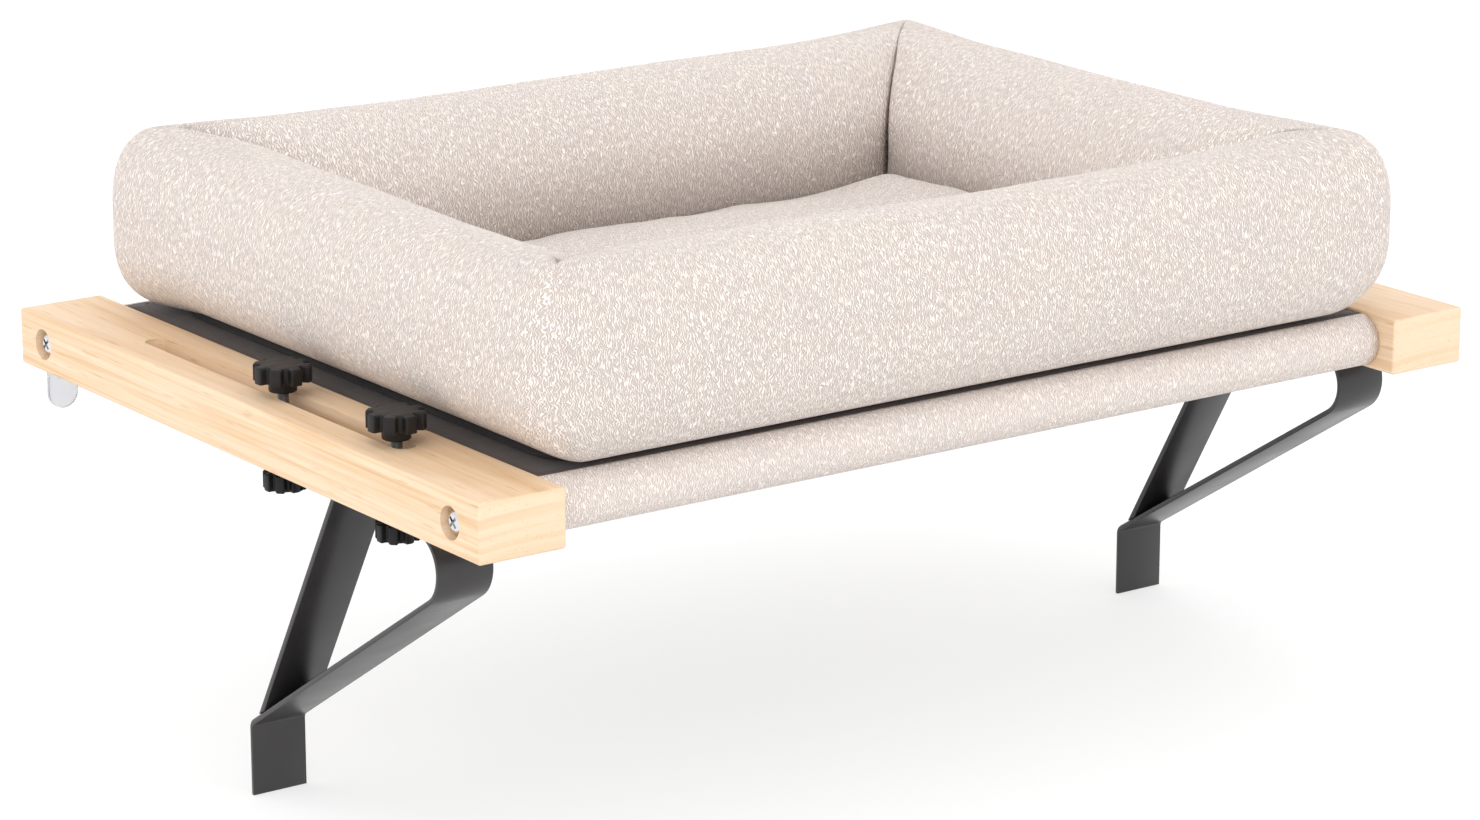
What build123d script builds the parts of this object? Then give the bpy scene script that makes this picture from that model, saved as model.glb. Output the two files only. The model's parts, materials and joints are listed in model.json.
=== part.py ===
"""Window perch for a cat: a wooden frame with a cloth sling, a bolster bed and two slotted brackets.

Two wooden rails lie on the window sill and reach out into the room. Two rods in sewn sleeves join them
and stretch the sling between them. Under each rail a bent steel bracket hangs on two studs that pass
through the rail's slot. Its tab rests against the wall below the sill, and clear stop plates at the
rails' far ends hook behind the sill.

Millimetres. X runs across, +Y from the room to the window, +Z up. The origin is midway between the
rails, on their undersides, in the plane of the wall that the two bracket tabs rest against.
"""

import os
from math import cos, radians, sin, tan

from build123d import *

os.makedirs("parts", exist_ok=True)

# Wooden frame
frame_width = 600.0
rail_length = 432.0
rail_width = 47.0
rail_height = 29.0
rail_edge_radius = 1.5
front_overhang = 224.0
slot_width = 12.0
slot_length = 243.0

# Cross rods and what holds them
rod_diameter = 25.0
rod_inset = 24.0
rod_socket_depth = 12.0
rod_socket_fit = 0.15
rod_end_gap = 0.4
counterbore_diameter = 16.0
counterbore_depth = 7.2
screw_diameter = 6.0
screw_hole_diameter = 6.6
screw_reach_in_rod = 19.0
screw_head_diameter = 12.0
screw_head_height = 4.4
screw_head_edge = 3.2
recess_length = 6.4
recess_width = 1.5
recess_depth = 2.2
washer_diameter = 14.0
washer_thickness = 1.2
insert_diameter = 10.0
insert_length = 20.0
thread_fit = 0.1
seat_gap = 0.02

# Cloth of the sling
cloth_thickness = 1.0
cloth_fit = 0.05
sleeve_end_gap = 0.6
sleeve_tail = 34.0
panel_edge_setback = 3.0
hem_thickness = 1.0

# Clear stop plates at the rails' far ends
stop_width = 16.5
stop_thickness = 3.0
stop_drop = 28.0
stop_rise = 25.0
stop_screw_height = 8.5
stop_screw_spacing = 11.0
stop_screw_diameter = 3.4
stop_screw_head = 6.6
stop_screw_head_height = 1.8
stop_screw_head_edge = 1.2
stop_screw_length = 20.0
stop_screw_fit = 0.1

# Bent steel brackets
strip_width = 30.0
strip_thickness = 3.0
bracket_reach = 176.0
bracket_drop = 175.5
front_bend_inside = 16.0
tab_bend_inside = 3.0
brace_slope = 32.4
strut_slope = 60.2
strut_setback = 85.0
strip_corner_radius = 1.5
rail_slide_gap = 0.1

# Clamps: a stud with a star knob above the rail and one below the bracket
stud_diameter = 6.0
stud_hole_diameter = 6.5
rear_stud_setback = 15.5
stud_spacing = 102.5
slot_lead = 12.0
upper_knob_diameter = 28.4
lower_knob_diameter = 21.6
lobe_count = 8
lobe_width_share = 0.21
core_share = 0.75
flute_radius_share = 0.034
grip_height = 8.4
grip_edge = 0.65
hub_diameter = 13.9
upper_hub_height = 5.2
lower_hub_height = 6.0
hub_rounding = 0.8
stud_tip = 0.6
knob_lift = 2.0
knob_seat_gap = 0.2
stud_depth_in_knob = 11.0
stud_reach_below = 9.5
nut_diameter = 9.0
nut_length = 12.0

# Bolster bed
bed_height = 93.0
bed_over_knobs = 1.0
bed_front_setback = 4.5
bed_rear_setback = 19.5
bed_gap = 0.3
bolster_width = 90.0
bolster_top_flat = 8.0
outer_top_radius = 38.0
outer_foot_radius = 33.0
inner_foot_radius = 26.0
outer_corner_radius = 26.0
base_cloth_thickness = 1.0
base_cloth_inset = 27.0
floor_rim_height = 22.0
floor_crown_height = 31.0
floor_seam_gap = 0.6
floor_corner_radius = 20.0
floor_edge_radius = 7.0

# Places worked out from the sizes above
rail_front = -front_overhang
rail_rear = rail_front + rail_length
rail_mid_y = (rail_front + rail_rear) / 2
rail_x = (frame_width - rail_width) / 2
rail_outer_x = frame_width / 2
rail_inner_x = rail_outer_x - rail_width
rod_z = rail_height / 2
front_rod_y = rail_front + rod_inset
rear_rod_y = rail_rear - rod_inset
rod_end_x = rail_inner_x + rod_socket_depth - rod_end_gap
sleeve_inner_radius = rod_diameter / 2 + cloth_fit
sleeve_outer_radius = sleeve_inner_radius + cloth_thickness
sling_top = rod_z + sleeve_outer_radius
sleeve_length = 2 * (rail_inner_x - sleeve_end_gap)
arm_top = -rail_slide_gap
arm_bottom = arm_top - strip_thickness
stud_ys = (-rear_stud_setback - stud_spacing, -rear_stud_setback)
slot_y = stud_ys[0] - slot_lead + slot_length / 2
upper_hub_z = rail_height + knob_lift
lower_hub_z = arm_bottom - knob_seat_gap
bed_bottom = sling_top + bed_gap
bed_width = 2 * (rail_x - upper_knob_diameter / 2 + bed_over_knobs)
bed_front = rail_front + bed_front_setback
bed_rear = rail_rear - bed_rear_setback
bed_depth = bed_rear - bed_front
bed_centre_y = (bed_front + bed_rear) / 2
sides = (("left", -1), ("right", 1))


def save(part, name):
    """Label one finished piece and write its file."""
    part.label = name
    export_step(part, f"parts/{name}.step")


# Side rails: square section with a long slot, a rod socket and a counterbored hole at each end
for side, sign in sides:
    with BuildPart() as rail:
        with BuildSketch(Plane.XY) as plan:
            with Locations((sign * rail_x, rail_mid_y)):
                Rectangle(rail_width, rail_length)
        extrude(amount=rail_height)
        fillet(rail.edges(), radius=rail_edge_radius)
        with BuildSketch(Plane.XY) as slot:
            with Locations((sign * rail_x, slot_y)):
                SlotOverall(slot_length, slot_width, rotation=90)
        extrude(amount=rail_height, mode=Mode.SUBTRACT)
        outer_face = Plane(origin=(sign * rail_outer_x, 0, rod_z), x_dir=(0, sign, 0), z_dir=(sign, 0, 0))
        with Locations(outer_face):
            with Locations((sign * front_rod_y, 0), (sign * rear_rod_y, 0)):
                CounterBoreHole(screw_hole_diameter / 2, counterbore_diameter / 2, counterbore_depth,
                                rail_width)
        inner_face = Plane(origin=(sign * rail_inner_x, 0, rod_z), x_dir=(0, -sign, 0), z_dir=(-sign, 0, 0))
        with BuildSketch(inner_face) as sockets:
            with Locations((-sign * front_rod_y, 0), (-sign * rear_rod_y, 0)):
                Circle(rod_diameter / 2 + rod_socket_fit)
        extrude(amount=-rod_socket_depth, mode=Mode.SUBTRACT)
        far_end = Plane(origin=(0, rail_rear, 0), x_dir=(-1, 0, 0), z_dir=(0, 1, 0))
        with BuildSketch(far_end) as pilot_holes:
            with Locations((-sign * rail_x, stop_screw_height),
                           (-sign * rail_x, stop_screw_height + stop_screw_spacing)):
                Circle(stop_screw_diameter / 2 + stop_screw_fit)
        extrude(amount=-stop_screw_length, mode=Mode.SUBTRACT)
    save(rail.part, f"{side}_rail")

# Cross rods: dowels bored at both ends for the threaded inserts
for place, y in (("front", front_rod_y), ("rear", rear_rod_y)):
    with BuildPart() as rod:
        with BuildSketch(Plane.YZ.offset(-rod_end_x)) as section:
            with Locations((y, rod_z)):
                Circle(rod_diameter / 2)
        extrude(amount=2 * rod_end_x)
        for sign in (-1, 1):
            with BuildSketch(Plane.YZ.offset(sign * rod_end_x)) as bore:
                with Locations((y, rod_z)):
                    Circle(insert_diameter / 2 + seat_gap)
            extrude(amount=-sign * (insert_length + seat_gap), mode=Mode.SUBTRACT)
    save(rod.part, f"{place}_rod")

# Rod ends: threaded inserts, washers and pan-head screws, four of each
rod_ends = [(sign, y) for sign in (-1, 1) for y in (front_rod_y, rear_rod_y)]
counterbore_floor_x = rail_outer_x - counterbore_depth

with BuildPart() as rod_inserts:
    for sign, y in rod_ends:
        with BuildSketch(Plane.YZ.offset(sign * rod_end_x)) as ring:
            with Locations((y, rod_z)):
                Circle(insert_diameter / 2)
                Circle(screw_diameter / 2 + thread_fit, mode=Mode.SUBTRACT)
        extrude(amount=-sign * insert_length)
save(rod_inserts.part, "rod_inserts")

with BuildPart() as rod_washers:
    for sign, y in rod_ends:
        with BuildSketch(Plane.YZ.offset(sign * counterbore_floor_x)) as ring:
            with Locations((y, rod_z)):
                Circle(washer_diameter / 2)
                Circle(screw_diameter / 2 + thread_fit, mode=Mode.SUBTRACT)
        extrude(amount=sign * washer_thickness)
save(rod_washers.part, "rod_washers")

head_seat_x = counterbore_floor_x + washer_thickness
screw_tip_x = rod_end_x - screw_reach_in_rod

with BuildPart() as rod_screws:
    for sign, y in rod_ends:
        axis_plane = Plane(origin=(sign * head_seat_x, y, rod_z), x_dir=(0, 1, 0), z_dir=(0, 0, sign))
        with BuildSketch(axis_plane) as half_section:
            with BuildLine() as outline:
                shank = Polyline((0, head_seat_x - screw_tip_x), (screw_diameter / 2, head_seat_x - screw_tip_x),
                                 (screw_diameter / 2, 0), (screw_head_diameter / 2, 0))
                head = FilletPolyline(shank @ 1, (screw_head_diameter / 2, -screw_head_height),
                                      (0, -screw_head_height), radius=screw_head_edge)
                Line(head @ 1, shank @ 0)
            make_face()
        revolve(axis=Axis((sign * head_seat_x, y, rod_z), (1, 0, 0)))
    for sign, y in rod_ends:
        with BuildSketch(Plane.YZ.offset(sign * (head_seat_x + screw_head_height))) as recess:
            with Locations((y, rod_z)):
                Rectangle(recess_length, recess_width, rotation=45)
                Rectangle(recess_width, recess_length, rotation=45)
        extrude(amount=-sign * recess_depth, mode=Mode.SUBTRACT)
save(rod_screws.part, "rod_screws")

# Sling: a sewn sleeve round each rod, with its tail lapped under the panel
for place, y, inward in (("front", front_rod_y, 1), ("rear", rear_rod_y, -1)):
    with BuildPart() as sleeve:
        with BuildSketch(Plane.YZ.offset(-sleeve_length / 2)) as section:
            with Locations((y, rod_z)):
                Circle(sleeve_outer_radius)
            with Locations((y + inward * sleeve_tail / 2, sling_top - hem_thickness - cloth_thickness / 2)):
                Rectangle(sleeve_tail, cloth_thickness)
            with Locations((y, rod_z)):
                Circle(sleeve_inner_radius, mode=Mode.SUBTRACT)
        extrude(amount=sleeve_length)
    save(sleeve.part, f"{place}_sleeve")

with BuildPart() as sling_panel:
    panel_front = front_rod_y + panel_edge_setback
    panel_rear = rear_rod_y - panel_edge_setback
    with BuildSketch(Plane.YZ.offset(-sleeve_length / 2)) as section:
        with Locations(((panel_front + panel_rear) / 2, sling_top - hem_thickness / 2)):
            Rectangle(panel_rear - panel_front, hem_thickness)
        with Locations((front_rod_y, rod_z), (rear_rod_y, rod_z)):
            Circle(sleeve_outer_radius, mode=Mode.SUBTRACT)
    extrude(amount=sleeve_length)
save(sling_panel.part, "sling_panel")

# Stop plates: clear tongues with round ends on the rails' far ends, two screws each
for side, sign in sides:
    with BuildPart() as stop_plate:
        far_end = Plane(origin=(0, rail_rear, 0), x_dir=(-1, 0, 0), z_dir=(0, 1, 0))
        with BuildSketch(far_end) as tongue:
            with Locations((-sign * rail_x, (stop_rise - stop_drop) / 2)):
                SlotOverall(stop_rise + stop_drop, stop_width, rotation=90)
        extrude(amount=stop_thickness)
        with Locations(far_end.offset(stop_thickness)):
            with Locations((-sign * rail_x, stop_screw_height),
                           (-sign * rail_x, stop_screw_height + stop_screw_spacing)):
                Hole(stop_screw_diameter / 2 + stop_screw_fit)
    save(stop_plate.part, f"{side}_stop_plate")

with BuildPart() as stop_plate_screws:
    for sign in (-1, 1):
        for height in (stop_screw_height, stop_screw_height + stop_screw_spacing):
            with BuildSketch(Plane(origin=(sign * rail_x, rail_rear + stop_thickness, height),
                                   x_dir=(1, 0, 0), z_dir=(0, 0, 1))) as half_section:
                with BuildLine() as outline:
                    tip_y = -stop_thickness - stop_screw_length
                    shank = Polyline((0, tip_y), (stop_screw_diameter / 2, tip_y + stop_screw_diameter / 2),
                                     (stop_screw_diameter / 2, 0), (stop_screw_head / 2, 0))
                    head = FilletPolyline(shank @ 1, (stop_screw_head / 2, stop_screw_head_height),
                                          (0, stop_screw_head_height), radius=stop_screw_head_edge)
                    Line(head @ 1, shank @ 0)
                make_face()
            revolve(axis=Axis((sign * rail_x, 0, height), (0, 1, 0)))
save(stop_plate_screws.part, "stop_plate_screws")

# Brackets: one strip bent into arm, front bend, brace and tab, with a straight strut welded inside
strip_mid = strip_thickness / 2
front_bend_mid = front_bend_inside + strip_mid
front_bend_y = -bracket_reach + front_bend_inside + strip_thickness
corner_reach = front_bend_mid * tan(radians((180 - brace_slope) / 2))
arm_mid_z = arm_top - strip_mid
front_corner = (front_bend_y - corner_reach, arm_mid_z)
brace_tan = tan(radians(brace_slope))
tab_corner = (-strip_mid, arm_mid_z - (-strip_mid - front_corner[0]) * brace_tan)


def brace_top(y):
    """Height of the brace's upper face at y."""
    return front_corner[1] - (y - front_corner[0]) * brace_tan + strip_mid / cos(radians(brace_slope))


strut_width_y = strip_thickness / sin(radians(strut_slope))
strut_tan = tan(radians(strut_slope))


def strut_foot(top_y):
    """Where a face of the strut, starting at top_y under the arm, meets the brace's upper face."""
    y = (brace_top(0) - arm_bottom - top_y * strut_tan) / (brace_tan - strut_tan)
    return (y, brace_top(y))


for side, sign in sides:
    with BuildPart() as strip:
        with BuildSketch(Plane.YZ.offset(sign * rail_x - strip_width / 2)) as profile:
            with BuildLine() as centre_line:
                FilletPolyline((0, arm_mid_z), front_corner, tab_corner, (-strip_mid, -bracket_drop),
                               radius=(front_bend_mid, tab_bend_inside + strip_mid))
            trace(line_width=strip_thickness)
        extrude(amount=strip_width)
        fillet(strip.edges().filter_by(Axis.Z).group_by(Axis.Y)[-1], radius=strip_corner_radius)
        with Locations(Plane.XY.offset(arm_top)):
            with Locations(*[(sign * rail_x, y) for y in stud_ys]):
                Hole(stud_hole_diameter / 2, depth=strip_thickness + rail_slide_gap)
    save(strip.part, f"{side}_bracket_strip")

    with BuildPart() as strut:
        back_y = -strut_setback - arm_bottom / strut_tan
        front_y = back_y - strut_width_y
        with BuildSketch(Plane.YZ.offset(sign * rail_x - strip_width / 2)) as profile:
            with BuildLine() as outline:
                Polyline((back_y, arm_bottom), (front_y, arm_bottom), strut_foot(front_y), strut_foot(back_y),
                         close=True)
            make_face()
        extrude(amount=strip_width)
    save(strut.part, f"{side}_bracket_strut")


def star_outline(plane, diameter):
    """Outline of a star knob's grip: straight-sided lobes with round ends, and softened flutes between."""
    with BuildSketch(plane) as star:
        with PolarLocations(0, lobe_count // 2, angular_range=180):
            Rectangle(diameter, diameter * lobe_width_share)
        Circle(diameter / 2, mode=Mode.INTERSECT)
        Circle(diameter * core_share / 2)
        fillet(star.vertices(), radius=diameter * flute_radius_share)
    return star.sketch


# Clamps: stud, star knob above the rail, threaded nut and star knob under the bracket arm
for side, sign in sides:
    for place, y in zip(("front", "rear"), stud_ys):
        clamp = f"{side}_{place}"
        x = sign * rail_x

        with BuildPart() as upper_knob:
            hub_plane = Plane(origin=(x, y, upper_hub_z))
            extrude(star_outline(hub_plane.offset(upper_hub_height), upper_knob_diameter), amount=grip_height)
            chamfer(upper_knob.faces().sort_by(Axis.Z)[-1].edges(), length=grip_edge)
            with BuildSketch(hub_plane) as hub:
                Circle(hub_diameter / 2)
            extrude(amount=upper_hub_height)
            fillet(upper_knob.faces().sort_by(Axis.Z)[0].edges(), radius=hub_rounding)
            with BuildSketch(hub_plane) as bore:
                Circle(stud_diameter / 2 + seat_gap)
            extrude(amount=stud_depth_in_knob + seat_gap, mode=Mode.SUBTRACT)
        save(upper_knob.part, f"{clamp}_upper_knob")

        with BuildPart() as stud:
            stud_bottom = lower_hub_z - stud_reach_below
            with BuildSketch(Plane(origin=(x, y, stud_bottom))) as section:
                Circle(stud_diameter / 2)
            extrude(amount=upper_hub_z + stud_depth_in_knob - stud_bottom)
            chamfer(stud.faces().sort_by(Axis.Z)[0].edges(), length=stud_tip)
        save(stud.part, f"{clamp}_stud")

        with BuildPart() as lower_knob:
            hub_plane = Plane(origin=(x, y, lower_hub_z), x_dir=(1, 0, 0), z_dir=(0, 0, -1))
            extrude(star_outline(hub_plane.offset(lower_hub_height), lower_knob_diameter), amount=grip_height)
            chamfer(lower_knob.faces().sort_by(Axis.Z)[0].edges(), length=grip_edge)
            with BuildSketch(hub_plane) as hub:
                Circle(hub_diameter / 2)
            extrude(amount=lower_hub_height)
            fillet(lower_knob.faces().sort_by(Axis.Z)[-1].edges(), radius=hub_rounding)
            with BuildSketch(hub_plane) as bore:
                Circle(nut_diameter / 2 + seat_gap)
            extrude(amount=nut_length + seat_gap, mode=Mode.SUBTRACT)
        save(lower_knob.part, f"{clamp}_lower_knob")

        with BuildPart() as nut:
            with BuildSketch(hub_plane) as ring:
                Circle(nut_diameter / 2)
                Circle(stud_diameter / 2 + thread_fit, mode=Mode.SUBTRACT)
            extrude(amount=nut_length)
        save(nut.part, f"{clamp}_lower_nut")


# Bolster bed: four mitred bolsters round a crowned floor cushion, on a base cloth
bolster_bottom = bed_bottom + base_cloth_thickness
bolster_height = bed_height - base_cloth_thickness
inner_top_radius = bolster_width - outer_top_radius - bolster_top_flat
half_width = bed_width / 2
half_depth = bed_depth / 2
up = Vector(0, 0, 1)


def bolster_section(plane):
    """Loaf-shaped section across a bolster, from its outer side at local x zero to its inner side."""
    with BuildSketch(plane) as section:
        with BuildLine():
            FilletPolyline((0, 0), (bolster_width, 0), (bolster_width, bolster_height), (0, bolster_height),
                           radius=(outer_foot_radius, inner_foot_radius, inner_top_radius, outer_top_radius),
                           close=True)
        make_face()
    return section.sketch


bolsters = (("front", Vector(0, 1, 0), half_width, half_depth),
            ("rear", Vector(0, -1, 0), half_width, half_depth),
            ("left", Vector(1, 0, 0), half_depth, half_width),
            ("right", Vector(-1, 0, 0), half_depth, half_width))

for place, inward, half_along, half_across in bolsters:
    run = inward.cross(up)
    foot_middle = Vector(0, bed_centre_y, bolster_bottom) - inward * half_across
    turn_at = half_along - outer_corner_radius
    mitre_end = half_along - bolster_width
    with BuildPart() as bolster:
        end_plane = Plane(origin=foot_middle - run * half_along, x_dir=inward, z_dir=run)
        extrude(bolster_section(end_plane), amount=2 * half_along)
        with BuildSketch(Plane(origin=foot_middle, x_dir=run, z_dir=up)) as between_mitres:
            with BuildLine():
                Polyline((-turn_at, 0), (turn_at, 0), (turn_at, outer_corner_radius), (mitre_end, bolster_width),
                         (-mitre_end, bolster_width), (-turn_at, outer_corner_radius), close=True)
            make_face()
        extrude(amount=bolster_height, mode=Mode.INTERSECT)
        for end in (-1, 1):
            corner = foot_middle + run * end * turn_at
            with BuildSketch(Plane(origin=corner, x_dir=inward, z_dir=run)) as outer_slice:
                add(bolster_section(Plane.XY))
                Rectangle(outer_corner_radius, bolster_height, align=(Align.MIN, Align.MIN), mode=Mode.INTERSECT)
            revolve(axis=Axis(corner + inward * outer_corner_radius, up * end), revolution_arc=45)
    save(bolster.part, f"{place}_bolster")

floor_width = bed_width - 2 * (bolster_width + floor_seam_gap)
floor_depth = bed_depth - 2 * (bolster_width + floor_seam_gap)

with BuildPart() as base_cushion:
    with BuildSketch(Plane.XY.offset(bolster_bottom)) as plan:
        with Locations((0, bed_centre_y)):
            RectangleRounded(floor_width, floor_depth, floor_corner_radius)
    extrude(amount=floor_crown_height)
    fillet(base_cushion.faces().sort_by(Axis.Z)[0].edges(), radius=floor_edge_radius)
    crown_rise = floor_crown_height - floor_rim_height
    for plane, middle, span in ((Plane.XZ, 0, floor_width), (Plane.YZ, bed_centre_y, floor_depth)):
        crown_radius = (span * span / 4 + crown_rise * crown_rise) / (2 * crown_rise)
        with BuildSketch(plane) as crown:
            with Locations((middle, bolster_bottom + floor_crown_height - crown_radius)):
                Circle(crown_radius)
        extrude(amount=frame_width, both=True, mode=Mode.INTERSECT)
save(base_cushion.part, "base_cushion")

with BuildPart() as bed_base_cloth:
    with BuildSketch(Plane.XY.offset(bed_bottom)) as plan:
        with Locations((0, bed_centre_y)):
            RectangleRounded(bed_width - 2 * base_cloth_inset, bed_depth - 2 * base_cloth_inset,
                             outer_corner_radius)
    extrude(amount=base_cloth_thickness)
save(bed_base_cloth.part, "bed_base_cloth")
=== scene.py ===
"""Window perch for a cat: materials, bolster bed, sling, threads and light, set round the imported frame."""

import json
from math import atan2, copysign, cos, exp, hypot, pi, radians, sin, sqrt, tau

import bmesh
import bpy
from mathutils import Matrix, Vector, noise


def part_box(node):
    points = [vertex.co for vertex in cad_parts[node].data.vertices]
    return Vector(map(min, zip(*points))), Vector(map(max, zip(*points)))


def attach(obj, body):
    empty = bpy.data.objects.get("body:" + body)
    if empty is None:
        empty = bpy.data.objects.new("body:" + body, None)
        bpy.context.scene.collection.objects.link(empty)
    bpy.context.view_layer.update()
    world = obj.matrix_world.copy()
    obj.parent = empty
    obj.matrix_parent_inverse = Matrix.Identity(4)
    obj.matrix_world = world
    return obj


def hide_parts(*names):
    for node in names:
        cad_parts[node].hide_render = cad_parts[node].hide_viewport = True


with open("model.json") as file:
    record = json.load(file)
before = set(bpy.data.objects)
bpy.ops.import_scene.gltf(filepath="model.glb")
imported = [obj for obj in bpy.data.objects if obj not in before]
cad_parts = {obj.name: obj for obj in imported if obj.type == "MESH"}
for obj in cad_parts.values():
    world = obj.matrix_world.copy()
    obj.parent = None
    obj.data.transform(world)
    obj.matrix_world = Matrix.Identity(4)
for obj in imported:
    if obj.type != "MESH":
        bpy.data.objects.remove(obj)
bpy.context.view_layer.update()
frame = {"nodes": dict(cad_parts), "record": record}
scene = bpy.context.scene

# Lengths are in metres and in the frame's axes.

# Camera of the photograph, its lens and sensor in millimetres
camera_target = Vector((-0.00085, -0.0080, -0.0255))
camera_back = Vector((-0.5640, -0.7806, 0.2695)).normalized()
camera_distance = 2.5126
camera_lens = 118.57
camera_sensor = 36.0
camera_reach = 60.0

# Soft light, stronger from the sides than from above, and one weak lamp
white = (1.0, 1.0, 1.0, 1.0)
sky_low = 1.70
sky_high = 1.04
key_place = (-2.3, -2.4, 2.2)
key_size = 1.8
key_power = 14.0
key_tint = (1.0, 0.99, 0.98)

# White floor: how much light it gives back, and how it shows itself to the camera
floor_half_size = 14.0
floor_gap = 0.0004
floor_reflectance = 0.85
floor_seen_reflectance = 0.40
floor_seen_glow = 0.64

# Mesh of the bolster ring, finer towards its seams
mesh_step = 0.0053
seam_mesh_step = 0.0005
seam_mesh_growth = 1.35

# Section of a bolster: each corner's width, height and fullness, where 2 is an ellipse and more is squarer
outer_foot = (0.027, 0.034, 2.5)
outer_top = (0.027, 0.040, 2.5)
inner_top = (0.063, 0.058, 2.05)
inner_foot = (0.026, 0.026, 2.0)
section_corner_steps = 32
bolster_width = 0.090
bed_corner_radius = 0.023
cover_fullness = 0.0020

# Foot of the ring, tucked in towards the bed's middle
side_tuck = 0.017
front_tuck = 0.003
tuck_height = 0.040
tuck_straight = 0.015
tuck_fade = 0.060
tuck_from_rear = 0.060

# Sewn mitres. Four values in a row are one for each corner: 0 front left, 1 front right, 2 rear right,
# 3 rear left. Places on a mitre are measured in from the ring's outer side.
corner_fullness = 0.0030
corner_reach = 0.045
seam_start = 0.028
seam_start_fade = 0.004
seam_shallow = 0.0026
seam_depth = 0.0120
seam_softness = (0.0008, 0.0008, 0.0008, 0.0016)
seam_full = (0.032, 0.046, 0.052, 0.036)
seam_opening = 0.008
seam_hollow = (0.0030, 0.0030, 0.0020, 0.0080)
seam_hollow_reach = (0.020, 0.020, 0.018, 0.013)
pocket_depth = 0.003
pocket_reach = 0.006
pocket_height = 0.036
pocket_rise = 0.011

# Gathers by corner: middle and reach along the mitre, depth, and width across it
gathers = {0: (0.039, 0.006, 0.0050, 0.0030), 3: (0.058, 0.016, 0.0060, 0.0036)}

# Painted shade, in folds by corner (middle, reach, width) and at the foot of the inner walls
fold_shades = {0: (0.037, 0.007, 0.0050), 1: (0.046, 0.010, 0.0024), 3: (0.056, 0.020, 0.0066)}
foot_shade_low = 0.028
foot_shade_high = 0.062
foot_shade_share = 0.42

# How far from a mitre the knit eases round the outer corner
knit_ease = 0.080

# Sag of the left and the front crest: its depth and place, where it starts and how soon it is full
crest_drop = 0.0034
crest = 0.064
crest_reach = 0.028
crest_start = 0.040
left_crest_sag = (0.070, 0.150)
front_crest_sag = (0.100, 0.150)

# Stuffing: lumps in two sizes, the ring's foot that is held, and how far the blown cloth may swell
unevenness = 0.0009
unevenness_size = 0.085
unevenness_shift = Vector((3.1, 0, 0))
fine_unevenness_share = 0.35
fine_unevenness_scale = 0.35
unevenness_foot = 0.02
held_height = 0.002
resting_height = 0.0015
stuffing_pressure = 4.0
stuffing_frames = 20
stuffing_evenings = 14
bolster_swell = 0.0025
swell_allowance = 0.0015
cushion_swell = 0.005

# Floor cushion inside the bolsters
cushion_rim_height = 0.0445
cushion_shoulder = 0.0095
cushion_side_lift = 0.0085
cushion_side_reach = 0.060
cushion_side_fade = 0.84
cushion_crown = 0.0060
cushion_edge_radius = 0.010
cushion_foot_radius = 0.007
cushion_corner_radius = 0.020
cushion_roughness = 0.0006
cushion_roughness_size = 0.03
pucker_height = 0.0026
pucker_length = 0.034
pucker_reach = 0.016
pucker_pitch = 1.25
fine_pucker_pitch = 3.0
fine_pucker_share = 0.6

# Sling
cloth_gauge = 0.0009
cloth_step = 0.006
sleeve_radius = 0.01305
sleeve_steps = 60
sleeve_tail = 0.034
tail_steps = 6
panel_lap = 0.0003
panel_rows = 64
hem_width = 0.009
hem_gauge = 0.0006
hem_step = 0.003
hem_half_length = 0.155
stitch_length = 0.0030
stitch_pitch = 0.0042
stitch_gauge = 0.00055
hem_stitch_inset = 0.0018
seam_stitch_inset = 0.0035
seam_stitch_gap = 0.002
sheet_corner_steps = 8

# Studs
thread_pitch = 0.001
thread_depth = 0.00055
thread_segments = 24
thread_rings_per_turn = 6
stud_tip_length = 0.0008
stud_tip_share = 0.82

# Clean-up of the hard pieces' meshes
weld_distance = 0.000002
flat_degrees = 0.2
bevel_segments = 2

clamps = [f"{side}_{place}" for side in ("left", "right") for place in ("front", "rear")]


def clamped(value):
    return min(max(value, 0.0), 1.0)


def bell(*ways):
    """A smooth hump: 1 where all the ways are zero, and falling off beyond a way of 1."""
    return exp(-sum(way ** 2 for way in ways))


def fill(inputs, values):
    """Give each named socket its value, or link it to another node's output."""
    for name, value in values.items():
        if isinstance(value, bpy.types.NodeSocket):
            inputs[name].id_data.links.new(value, inputs[name])
        else:
            inputs[name].default_value = value


def node(tree, kind, sockets=None, **settings):
    """Add a node, set its properties, and fill its sockets."""
    made = tree.nodes.new(kind)
    for name, value in settings.items():
        setattr(made, name, value)
    fill(made.inputs, sockets or {})
    return made


def math(tree, operation, *values):
    return node(tree, "ShaderNodeMath", dict(enumerate(values)), operation=operation).outputs[0]


def times(tree, first, second):
    return math(tree, "MULTIPLY", first, second)


def plus(tree, first, second):
    return math(tree, "ADD", first, second)


def split(tree, vector):
    return node(tree, "ShaderNodeSeparateXYZ", {"Vector": vector}).outputs


def merged(tree, x, y, z):
    return node(tree, "ShaderNodeCombineXYZ", {"X": x, "Y": y, "Z": z}).outputs[0]


def spread(tree, value, low, high, to_low=0.0, to_high=1.0):
    """A value from low to high laid over the range from to_low to to_high, and held at its ends."""
    sockets = {"Value": value, "From Min": low, "From Max": high, "To Min": to_low, "To Max": to_high}
    return node(tree, "ShaderNodeMapRange", sockets).outputs["Result"]


def mixed(tree, share, first, second, blend="MIX"):
    made = node(tree, "ShaderNodeMix", {0: share, 6: first, 7: second}, data_type="RGBA", blend_type=blend)
    return made.outputs[2]


def scaled(tree, vector, scale):
    """A place times a scale along each axis, for noise in cells per metre."""
    made = node(tree, "ShaderNodeVectorMath", {0: vector, 1: scale}, operation="MULTIPLY")
    return made.outputs["Vector"]


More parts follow.
